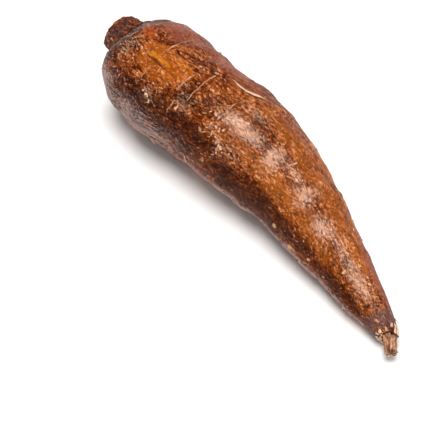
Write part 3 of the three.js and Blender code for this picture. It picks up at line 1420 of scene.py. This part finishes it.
class CutWood(Finish):
    """End grain of the neck, cut across and dried: grey-tan, darker in its rings and drying cracks.

    Its pores are 0.2 mm wide and are drawn 1 mm wide, so that they show.
    """

    name = "dry_root_end_grain"
    grains = {"pore": Grain(1.0, 0.9), "stain": Grain(6.0, 5.0)}
    stops = ((0.0, "#24130b"), (0.3, "#5c3d28"), (0.6, "#94714f"), (1.0, "#c9a983"))
    roughness = 0.8
    ior = 1.5

    def material(self) -> bpy.types.Material:
        """Build the material from the disc's own rings and cracks and from fine noise.

        Returns:
            The material.
        """
        material, tree = self.start()
        ring = add(tree, "ShaderNodeAttribute", attribute_name="ring").outputs["Fac"]
        straight = add(tree, "ShaderNodeAttribute", attribute_name="straight").outputs["Vector"]
        grains = self.lay_grains(tree, straight)
        shade = self.weigh(tree, ((ring, 0.7), (grains["pore"], 0.7), (grains["stain"], 0.7)), -0.6)
        colour = add(tree, "ShaderNodeValToRGB", {"Fac": shade}, stops=self.stops).outputs["Color"]
        bump = add(tree, "ShaderNodeBump", {"Height": shade}, {"Strength": 0.6, "Distance": 0.4 * MM})
        shader = add(tree, "ShaderNodeBsdfPrincipled", {"Base Color": colour, "Normal": bump.outputs[0]},
                     {"Roughness": self.roughness, "IOR": self.ior})
        add(tree, "ShaderNodeOutputMaterial", {"Surface": shader.outputs[0]})
        return material


# ---- The pieces of the root ----------------------------------------------------------------------------


def circle_of(sides: int, radius: float) -> tuple[np.ndarray, np.ndarray]:
    """Even angles round the root, and the points of a circle of some radius at them."""
    angle = np.arange(sides) * 2 * np.pi / sides
    return angle, np.stack([np.zeros_like(angle), radius * np.cos(angle), radius * np.sin(angle)], axis=-1)


@dataclass(frozen=True)
class Bark:
    """The whole skin, from the rim of the cut neck to the torn edge at the tail, closed at both ends.

    Each end folds inward by rings that are given by their place along the root and their share of the
    radius. At the neck the first two stand on the floor of the pocket that holds the cut wood, and the next
    two inside the rim.
    """

    rings: int = 440
    sides: int = 218
    rim_roughness: float = 0.8
    tear: float = 1.6
    noise_radius: float = 4.0
    neck_pocket: float = 4.6
    pocket_rings: tuple[tuple[float, float], ...] = ((0.2, 0.5), (0.0, 0.88))
    rim_rings: tuple[tuple[float, float], ...] = ((1.6, 0.9), (0.3, 0.94))
    torn_rings: tuple[tuple[float, float], ...] = ((0.4, 0.9), (0.1, 0.78), (-0.8, 0.66), (-2.0, 0.4))
    torn_paleness: float = 0.9

    def build(self) -> bpy.types.Object:
        """Build the skin: rings of the root's own form with the relief on top, and the rings that fold in.

        The place of the rim and of the torn edge varies with the angle by noise.

        Returns:
            The piece.
        """
        angle, circle = circle_of(self.sides, self.noise_radius)
        share = np.linspace(0.0, 1.0, self.rings)[:, None]
        start = NECK + self.rim_roughness * (cloud(circle, Seed.RIM) + 0.5)
        end = BARK_END + self.tear * cloud(circle * 1.4, Seed.TEAR)
        along = start + (end - start) * share
        height, masks = RELIEF.work_out(Places(along, np.broadcast_to(angle, along.shape)))

        pocket = np.full_like(angle, NECK + self.neck_pocket)
        front = [(pocket + step, depth) for step, depth in self.pocket_rings]
        front += [(start + step, depth) for step, depth in self.rim_rings]
        back = [(end + step, depth) for step, depth in self.torn_rings]
        rows = front + [(row, 1.0) for row in along] + back
        along = np.stack([row for row, _ in rows])
        depth = np.array([inner for _, inner in rows])[:, None] * np.ones_like(along)
        turn = np.broadcast_to(angle, along.shape)
        pad = ((len(front), len(back)), (0, 0))
        height = np.pad(height, pad, mode="edge") * smooth(0.0, 1.0, depth)
        masks = {name: np.pad(mask, pad, mode="edge") for name, mask in masks.items()}
        masks[Tone.SCAR.value][-len(back):] = self.torn_paleness
        points = FORM.place(along, turn, height, depth)
        piece = make_piece(
            "root_bark", with_poles(points), tube_faces(*along.shape), WaxedBark().material(),
            {name: with_poles(mask) for name, mask in masks.items()},
            {"straight": with_poles(Places(along, turn).straight) * MM},
        )
        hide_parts(CAD_NODE)
        return piece


@dataclass(frozen=True)
class TailCore:
    """The woody core that stands out of the torn bark at the tail, with a ragged end."""

    start: float = 124.0
    end: float = TAIL - 0.6
    end_roughness: float = 1.6
    radius: float = 3.9
    noise_radius: float = 3.7
    proud: float = 0.1
    gap_depth: float = 0.9
    knob: float = 0.6
    tip_roughness: float = 0.8
    rings: int = 90
    sides: int = 84
    inward: tuple[float, ...] = (0.85, 0.6, 0.35)

    def build(self) -> bpy.types.Object:
        """Build the core: a round bundle of strands that stop at uneven lengths.

        The gaps between the strands are where noise that is stretched along the root changes sign. The
        last rings shrink inward by their share of the radius, each moved along by noise of its own.

        Returns:
            The piece.
        """
        angle, circle = circle_of(self.sides, self.noise_radius)
        end = self.end + self.end_roughness * noise(circle / 1.3, Seed.CORE_END)
        along = self.start + (end - self.start) * np.linspace(0, 1, self.rings)[:, None]
        places = Places(along, np.broadcast_to(angle, along.shape))
        gaps = smooth(0.3, 0.0, np.abs(noise(places.stretched(14, 1.1), Seed.CORE_STRANDS)))
        height = np.minimum(self.radius - places.radius, self.proud) - self.gap_depth * gaps
        height += self.knob * noise(places.stretched(4, 2), Seed.CORE_KNOBS)
        shrunk = np.array(self.inward)[:, None, None] * circle
        tips = end + self.tip_roughness * noise(shrunk / 0.9, Seed.STRAND_TIPS)
        along = np.vstack([along, tips])
        depth = np.array([1.0] * self.rings + list(self.inward))[:, None] * np.ones_like(along)
        height = np.pad(height, ((0, len(self.inward)), (0, 0)), mode="edge") * depth
        turn = np.broadcast_to(angle, along.shape)
        points = FORM.place(along, turn, height, depth)
        return make_piece(
            "tail_core", with_poles(points), tube_faces(*along.shape), TornWood().material(), None,
            {"straight": with_poles(Places(along, turn).straight) * MM},
        )


@dataclass(frozen=True)
class NeckCut:
    """The cut face of the neck: a disc of dried wood set in the rim of the bark."""

    front: float = 0.9
    back: float = 4.0
    reach: float = 0.89
    radius: float = 13.0
    sides: int = 120
    front_rings: int = 26
    back_rings: int = 6
    cracks: int = 9
    growth_rings: float = 26.0

    def build(self) -> bpy.types.Object:
        """Build the disc: an uneven front face and a flat back, each of rings of growing share.

        The front is clouds of noise, with a dip at the pith and thin radial cracks where an angle wave is
        near its top. The growth rings are a sine of the share.

        Returns:
            The piece.
        """
        shares = self.reach * np.concatenate([
            np.linspace(0.05, 1.0, self.front_rings), np.linspace(1.0, 0.1, self.back_rings)
        ])
        is_front = (np.arange(len(shares)) < self.front_rings)[:, None]
        depth = shares[:, None] * np.ones(self.sides)
        turn = np.broadcast_to(np.arange(self.sides) * 2 * np.pi / self.sides, depth.shape)
        across = self.radius * depth
        flat = np.stack([0 * depth, across * np.cos(turn), across * np.sin(turn)], axis=-1)
        wave = np.cos(self.cracks * turn + 2.5 * noise(flat / 6, Seed.CUT_CRACKS))
        crack = smooth(0.93, 1.0, wave) * smooth(0.15, 0.4, depth)
        uneven = 0.5 * cloud(flat / 5, Seed.CUT_FACE) + 0.9 * bell(depth, 0.16) + 0.8 * crack
        along = NECK + np.where(is_front, self.front + uneven, self.back)
        growth = np.sin(self.growth_rings * depth + 2 * noise(flat / 7, Seed.CUT_RINGS))
        ring = 0.5 + 0.25 * growth - 0.5 * crack - 0.4 * bell(depth, 0.14)
        points = FORM.place(along, turn, 0 * depth, depth)
        return make_piece(
            "neck_cut", with_poles(points), tube_faces(*depth.shape), CutWood().material(),
            {"ring": with_poles(np.where(is_front, ring, 0.4))}, {"straight": with_poles(flat) * MM},
        )


@dataclass(frozen=True)
class Sheets:
    """Thin closed bits of skin: the line down the middle of each, half its width, and how it lifts.

    The middle line and the half-width are given by sheet and column, in millimetres and radians. The lift
    is a height out of the bark by sheet, column and row, and so is the paleness, where one number can
    stand for all columns or rows. The last row is the loose edge.
    """

    along: np.ndarray
    angle: np.ndarray
    half_width: np.ndarray
    lift: np.ndarray
    pale: np.ndarray
    thickness: float = 0.18
    proud: float = 0.1
    root_depth: float = 0.35

    def build(self, name: str) -> bpy.types.Object:
        """Lay the sheets on the bark.

        Each row lies across the middle line, at a share of the half-width. The top is the bark's own
        height plus the lift; the bottom is under it by the thickness, and by the root depth as well where
        the sheet still grows out of the bark.

        Args:
            name: the piece's name.

        Returns:
            The piece.
        """
        count, columns, rows = self.lift.shape
        share = np.linspace(-1.0, 1.0, rows)
        radius = FORM.radius(self.along)
        round_it = np.gradient(self.angle, axis=1) * radius
        ahead = np.stack([np.gradient(self.along, axis=1), round_it], axis=-1)
        ahead /= np.linalg.norm(ahead, axis=-1, keepdims=True)
        offset = self.half_width[..., None] * share
        along = self.along[..., None] - offset * ahead[..., 1:]
        angle = self.angle[..., None] + offset * ahead[..., :1] / radius[..., None]
        skin, _ = RELIEF.work_out(Places(along, angle))
        top = skin + self.proud + self.lift
        bottom = top - self.thickness - self.root_depth * (0.5 - 0.5 * share) ** 0.5
        both = [np.stack([part, part], axis=1) for part in (along, angle)]
        points = FORM.place(both[0], both[1], np.stack([top, bottom], axis=1))
        pale = np.broadcast_to(self.pale[:, None], points.shape[:-1])
        return make_piece(
            name, points, [sheet_faces(count, columns, rows)], PaperySkin().material(), {"pale": pale},
            {"straight": Places(*both).straight * MM},
        )


@dataclass(frozen=True)
class Cluster:
    """Where flakes gather: its middle, its spread along and round, how many, and how pale they are."""

    along: float
    angle: float
    length: float
    width: float
    count: int
    pale: float


@dataclass(frozen=True)
class LooseFlakes:
    """Small flakes of outer skin, in clusters and thinly all over, each lifted along one edge.

    Lengths and lifts are in millimetres, and a half-width is a share of the length.
    """

    clusters: tuple[Cluster, ...] = (
        Cluster(-31, 114, 2.2, 2.4, 8, 1.0),
        Cluster(-27, 127, 2.2, 2.0, 10, 1.0),
        Cluster(-22, 136, 2.4, 2.0, 8, 1.0),
        Cluster(-18, 145, 1.6, 2.0, 7, 1.0),
        Cluster(-27, 128, 8, 8, 12, 0.8),
        Cluster(-58, 82, 9, 5, 10, 0.75),
        Cluster(-74, 143, 2, 2, 7, 0.9),
        Cluster(-53, 128, 4, 3, 9, 0.85),
        Cluster(-106, 42, 7, 3, 8, 0.8),
        Cluster(-108, 112, 9, 9, 26, 0.7),
        Cluster(-80, 106, 16, 9, 24, 0.6),
        Cluster(-134, 120, 5, 14, 6, 0.5),
        Cluster(-98, 135, 12, 8, 24, 0.6),
        Cluster(66, 106, 9, 7, 16, 0.6),
        Cluster(30, 100, 40, 14, 24, 0.45),
        Cluster(110, 100, 6, 6, 14, 0.6),
        Cluster(0, 0, 70, 400, 110, 0.2),
    )
    lengths: tuple[float, float] = (1.0, 3.2)
    half_widths: tuple[float, float] = (0.14, 0.3)
    narrowest: float = 0.05
    lifts: tuple[float, float] = (0.1, 0.7)
    columns: int = 6
    rows: int = 4
    seed: int = 23

    def build(self) -> bpy.types.Object:
        """Scatter the flakes by chance, as uneven lenses.

        A flake's half-width is the root of 1 less the square of the place along it, to a power of its own.
        Most lie along the root, the palest lie across it and are broader, and each is lifted by its row's
        share to the power 1.5.

        Returns:
            The piece.
        """
        chance = np.random.default_rng(self.seed)
        rows = [(c.along + c.length * chance.standard_normal(),
                 np.radians(c.angle) + c.width * chance.standard_normal() / FORM.radius(np.array(c.along)),
                 c.pale * chance.uniform(0.5, 1.15))
                for c in self.clusters for _ in range(c.count)]
        along, angle, pale = np.array(rows).T[..., None]
        along = np.clip(along, NECK + 2, BARK_END - 4)
        count = len(along)
        broad = smooth(0.7, 0.9, pale)
        length = chance.uniform(*self.lengths, (count, 1)) * (1 - 0.2 * broad)
        turn = chance.normal(0.0, 0.7, (count, 1))
        turn += np.pi * (chance.integers(0, 2, (count, 1)) + 0.5 * broad)
        place = np.linspace(-0.5, 0.5, self.columns) * length
        half = length * chance.uniform(*self.half_widths, (count, 1)) * (1 + 0.3 * broad)
        lens = np.sqrt(1 - (1.96 * place / length) ** 2) ** chance.uniform(0.3, 1.5, (count, 1))
        lens *= chance.uniform(0.45, 1.25, (count, self.columns))
        edge = np.linspace(0.0, 1.0, self.rows) ** 1.5
        lift = chance.uniform(*self.lifts, (count, 1, 1)) * edge * np.ones((1, self.columns, 1))
        sheets = Sheets(
            along + place * np.cos(turn), angle + place * np.sin(turn) / FORM.radius(along),
            half * lens + self.narrowest, lift, np.clip(pale, 0.0, 1.0)[..., None],
        )
        return sheets.build("loose_flakes")


@dataclass(frozen=True)
class CreaseLips:
    """The pale dry lips that stand along the cross creases, as thin strips that come and go."""

    columns: int = 40
    half_width: float = 0.27
    lift: float = 0.14
    dip: float = -0.5
    full_height: float = 0.45
    row_lifts: tuple[float, ...] = (0.7, 1.0, 0.9)

    def build(self) -> bpy.types.Object:
        """Lay one strip along each crease, lifted by the crease's share of the full height.

        The half-width is a half sine of the way along. Noise along the strip makes it broad and pale where
        it is high, and where it is low the strip dips under the bark.

        Returns:
            The piece.
        """
        chance_creases, _ = RELIEF.chance_marks()
        creases = CREASES + chance_creases
        share = np.linspace(0.03, 0.97, self.columns)
        ends = np.radians([[c.start, c.end] for c in creases])
        angle = ends[:, :1] + (ends[:, 1:] - ends[:, :1]) * share
        start = np.array([[c.along] for c in creases]) + 0 * angle
        radius = FORM.radius(start)
        along = start + np.stack([RELIEF.wander(angle[i], radius[i], c) for i, c in enumerate(creases)])
        full = cloud(np.stack([start, radius * angle, 0 * start], axis=-1) / 7, Seed.LIPS)
        lift = np.where(full < -0.28, self.dip, self.lift)
        lift *= np.array([[c.height / self.full_height] for c in creases])
        half = self.half_width * (0.6 + 0.6 * np.sin(np.pi * share)) * (1 + 1.2 * full)
        rows = lift[..., None] * np.array(self.row_lifts)
        return Sheets(along, angle, half, rows, (0.6 + 0.5 * full)[..., None]).build("crease_lips")


@dataclass(frozen=True)
class PeeledStrip:
    """The one large strip of skin on the shoulder side that has come loose along its lower edge.

    It is given by the places along and the angles of its two ends, and it bows up between them.
    """

    start: tuple[float, float] = (-43.5, 69.0)
    end: tuple[float, float] = (-23.5, 56.0)
    bow: float = 4.0
    half_width: float = 2.4
    curl: float = 1.1
    thickness: float = 0.5
    dullest: float = 0.25
    columns: int = 60
    rows: int = 14

    def build(self) -> bpy.types.Object:
        """Lay one long lens, widest towards its tail end, whose loose edge is lifted and pale.

        The lift is the square of the way across it, and the pale band grows wider towards the tail.

        Returns:
            The piece.
        """
        share = np.linspace(0.0, 1.0, self.columns)[None]
        along = self.start[0] + (self.end[0] - self.start[0]) * share
        degrees = self.start[1] + (self.end[1] - self.start[1]) * share + self.bow * np.sin(np.pi * share)
        angle = np.radians(degrees)
        bulge = np.sin(np.pi * (0.02 + 0.96 * share**1.6)) ** 0.7
        ragged = noise(np.stack([along, angle, share], axis=-1) / 2.4, Seed.STRIP_EDGE)
        half = self.half_width * bulge * (1 + 0.2 * ragged)
        across = np.linspace(0.0, 1.0, self.rows)
        lift = self.curl * (bulge * smooth(0.0, 0.5, share))[..., None] * across**2
        band = smooth(0.0, 0.25, across - 0.6 + 0.5 * share[..., None])
        pale = self.dullest + (1 - self.dullest) * band
        return Sheets(along, angle, half, lift, pale, self.thickness).build("peeled_strip")


@dataclass(frozen=True)
class TornBits:
    """Cream and dark shards of bark and fibre that stand round the torn edge at the tail."""

    count: int = 26
    overlap: float = 2.6
    lengths: tuple[float, float] = (2.4, 5.5)
    half_widths: tuple[float, float] = (0.4, 1.3)
    rises: tuple[float, float] = (0.2, 1.5)
    curl: float = 0.3
    thickness: float = 0.3
    paleness: tuple[float, ...] = (0.0, 0.8, 1.0, 1.0, 1.0)
    columns: int = 8
    rows: int = 4
    seed: int = 5

    def build(self) -> bpy.types.Object:
        """Set the shards lengthwise over the bark's torn edge, evenly round it but for chance.

        A shard is blunt at its far end, its width varies by chance along it, it rises by the power 1.5 of
        the way along, and it is tilted or curled a little across.

        Returns:
            The piece.
        """
        chance = np.random.default_rng(self.seed)
        angle = np.radians(np.arange(self.count) * 360 / self.count + chance.uniform(-9, 9, self.count))
        length = chance.uniform(*self.lengths, (self.count, 1))
        place = np.linspace(0.0, 1.0, self.columns)
        along = BARK_END - self.overlap + chance.uniform(-0.8, 0.8, (self.count, 1)) + length * place
        half = chance.uniform(*self.half_widths, (self.count, 1)) * (1.05 - place) ** 0.4 * (0.6 + place)
        half *= chance.uniform(0.5, 1.3, (self.count, self.columns))
        rise = chance.uniform(*self.rises, (self.count, 1, 1)) * place[:, None] ** 1.5
        tilt = self.curl * np.linspace(-1, 1, self.rows) * chance.uniform(-1, 1, (self.count, 1, 1))
        pale = chance.choice(self.paleness, self.count)
        turns = angle[:, None] + 0.25 * chance.uniform(-1, 1, (self.count, 1)) * place
        sheets = Sheets(along, turns, half, rise + tilt, pale[:, None, None], self.thickness)
        return sheets.build("torn_bits")


@dataclass(frozen=True)
class Rootlet:
    """One dry hair root: where it leaves the bark, and its far end's place and height."""

    along: float
    angle: float
    far_along: float
    far_angle: float
    height: float
    thickness: float = 0.5


@dataclass(frozen=True)
class Rootlets:
    """The few dry hair roots that are still on the bark."""

    hairs: tuple[Rootlet, ...] = (
        Rootlet(119.5, 48, 129.5, 25, 4.6, 0.45),
        Rootlet(108, -30, 113, -52, 2.2),
        Rootlet(84, 230, 92, 245, 2.4),
        Rootlet(39, 170, 36, 176, 2.2, 0.7),
        Rootlet(-64, -38, -70, -46, 2.5, 0.6),
        Rootlet(-118, 200, -121, 212, 2.4, 0.6),
    )
    root_depth: float = 0.5
    sway: float = 0.06
    taper: float = 0.7
    paleness: float = 0.15
    steps: int = 24
    sides: int = 8

    def tube(self, hair: Rootlet, phase: int) -> tuple[np.ndarray, np.ndarray]:
        """Work out one hair: circles that taper along a curve on the bark.

        The curve runs from one place to the other with a growing sine of sway, and rises by the power 1.6
        of the way along it.

        Args:
            hair: the hair.
            phase: where its sway starts, in radians.

        Returns:
            Its points in metres, and where its pattern lies: the place along the root and the angle round
            the hair, both as if in millimetres.
        """
        share = np.linspace(0.0, 1.0, self.steps)
        turn = np.arange(self.sides) * 2 * np.pi / self.sides
        along = hair.along + (hair.far_along - hair.along) * share
        angle = np.radians(hair.angle + (hair.far_angle - hair.angle) * share)
        angle += self.sway * np.sin(5 * share + phase) * share
        line = FORM.place(along, angle, hair.height * share**1.6 - self.root_depth)
        ahead = np.gradient(line, axis=0)
        ahead /= np.linalg.norm(ahead, axis=-1, keepdims=True)
        side = np.cross(ahead, [0.0, 0.0, 1.0])
        side /= np.linalg.norm(side, axis=-1, keepdims=True)
        up = np.cross(side, ahead)
        thick = (hair.thickness / 2 * (1 - self.taper * share) * MM)[:, None, None]
        round_it = side[:, None] * np.cos(turn)[:, None] + up[:, None] * np.sin(turn)[:, None]
        pattern = np.stack(np.broadcast_arrays(along[:, None], turn, 0.0), axis=-1) * MM
        return with_poles(line[:, None] + thick * round_it), with_poles(pattern)

    def build(self) -> bpy.types.Object:
        """Build all the hairs as one piece.

        Returns:
            The piece.
        """
        points, patterns = zip(*(self.tube(hair, number) for number, hair in enumerate(self.hairs)))
        first = [number * len(tube) for number, tube in enumerate(points)]
        faces = [
            np.concatenate([rows + start for start in first]) for rows in tube_faces(self.steps, self.sides)
        ]
        points = np.concatenate(points)
        return make_piece(
            "rootlets", points, faces, PaperySkin().material(),
            {"pale": np.full(len(points), self.paleness)}, {"straight": np.concatenate(patterns)},
        )


# ---- The stage -----------------------------------------------------------------------------------------


@dataclass(frozen=True)
class Lamp:
    """A large soft light, far off: the way it comes from, how wide it looks and how bright it is."""

    name: str
    toward: tuple[float, float, float]
    degrees: float
    strength: float


@dataclass(frozen=True)
class Studio:
    """The camera, a pale floor, two large soft lights and a dim even surround behind a pale backdrop."""

    azimuth: float = 54.76
    elevation: float = 50.0
    distance: float = 1.0097
    aim: tuple[float, float] = (0.0023, -0.0264)
    lens: float = 135.0
    lamps: tuple[Lamp, ...] = (
        Lamp("softbox_overhead", (-0.02, -0.06, 1.0), 38, 2.85),
        Lamp("softbox_behind", (-0.15, 0.8, 0.6), 60, 0.35),
    )
    surround: float = 0.46
    gloss_surround: float = 0.08
    backdrop: float = 0.93
    floor_size: float = 12.0
    floor_colour: str = "#f7f6f5"
    floor_roughness: float = 0.9
    floor_gloss: float = 0.1
    view_depth: float = 50.0

    def add_camera(self) -> None:
        """Stand the camera off from its aim by azimuth and elevation, looking down on the root."""
        across, above = np.radians(self.azimuth), np.radians(self.elevation)
        back = Vector((np.sin(across) * np.cos(above), -np.cos(across) * np.cos(above), np.sin(above)))
        camera = bpy.data.objects.new("camera", bpy.data.cameras.new("camera"))
        camera.data.lens = self.lens
        camera.data.clip_end = self.view_depth
        place = Vector((*self.aim, 0.0)) + back * self.distance
        camera.matrix_world = Matrix.Translation(place) @ back.to_track_quat("Z", "Y").to_matrix().to_4x4()
        bpy.context.scene.collection.objects.link(camera)
        bpy.context.scene.camera = camera

    def add_lamp(self, lamp: Lamp) -> None:
        """Add one soft light that shines from its direction.

        Args:
            lamp: the light.
        """
        light = bpy.data.lights.new(lamp.name, "SUN")
        light.angle = np.radians(lamp.degrees)
        light.energy = lamp.strength
        lit = bpy.data.objects.new(lamp.name, light)
        toward = Vector(lamp.toward).normalized()
        lit.matrix_world = Matrix.Translation(toward) @ toward.to_track_quat("Z", "Y").to_matrix().to_4x4()
        bpy.context.scene.collection.objects.link(lit)

    def add_surround(self) -> None:
        """Set the surround: an even soft light, dim in reflections, and a pale backdrop to look at."""
        world = bpy.data.worlds.new("pale_backdrop")
        world.use_nodes = True
        world.cycles.sampling_method = "NONE"
        tree = world.node_tree
        tree.nodes.clear()
        path = add(tree, "ShaderNodeLightPath").outputs
        soft, dim, seen = (
            add(tree, "ShaderNodeBackground", None, {"Strength": light, "Color": (1, 1, 1, 1)}).outputs[0]
            for light in (self.surround, self.gloss_surround, self.backdrop))
        lit = add(tree, "ShaderNodeMixShader", {0: path["Is Glossy Ray"], 1: soft, 2: dim})
        both = add(tree, "ShaderNodeMixShader", {0: path["Is Camera Ray"], 1: lit.outputs[0], 2: seen})
        add(tree, "ShaderNodeOutputWorld", {"Surface": both.outputs[0]})
        bpy.context.scene.world = world

    def add_floor(self) -> None:
        """Add the floor, a plain pale sheet at the height that the root lies on."""
        material = bpy.data.materials.new("matt_white_sweep")
        material.use_nodes = True
        tree = material.node_tree
        tree.nodes.clear()
        shader = add(tree, "ShaderNodeBsdfPrincipled", None,
                     {"Base Color": linear(self.floor_colour), "Roughness": self.floor_roughness,
                      "Specular IOR Level": self.floor_gloss})
        add(tree, "ShaderNodeOutputMaterial", {"Surface": shader.outputs[0]})
        half = self.floor_size / 2
        mesh = bpy.data.meshes.new("floor")
        corners = [(-half, -half, 0), (half, -half, 0), (half, half, 0), (-half, half, 0)]
        mesh.from_pydata(corners, [], [(0, 1, 2, 3)])
        mesh.materials.append(material)
        floor = bpy.data.objects.new("floor", mesh)
        bpy.context.scene.collection.objects.link(floor)

    def build(self) -> None:
        """Add the camera, the lights, the surround and the floor."""
        self.add_camera()
        for lamp in self.lamps:
            self.add_lamp(lamp)
        self.add_surround()
        self.add_floor()
        bpy.context.scene.view_settings.view_transform = "Standard"


def main() -> None:
    """Build the studio and then each part of the root."""
    logging.basicConfig(level=logging.INFO, format="%(name)s %(message)s")
    Studio().build()
    for part in (Bark(), TailCore(), NeckCut(), LooseFlakes(), CreaseLips(), PeeledStrip(), TornBits(),
                 Rootlets()):
        part.build()
    bpy.context.view_layer.update()


if __name__ == "__main__":
    main()
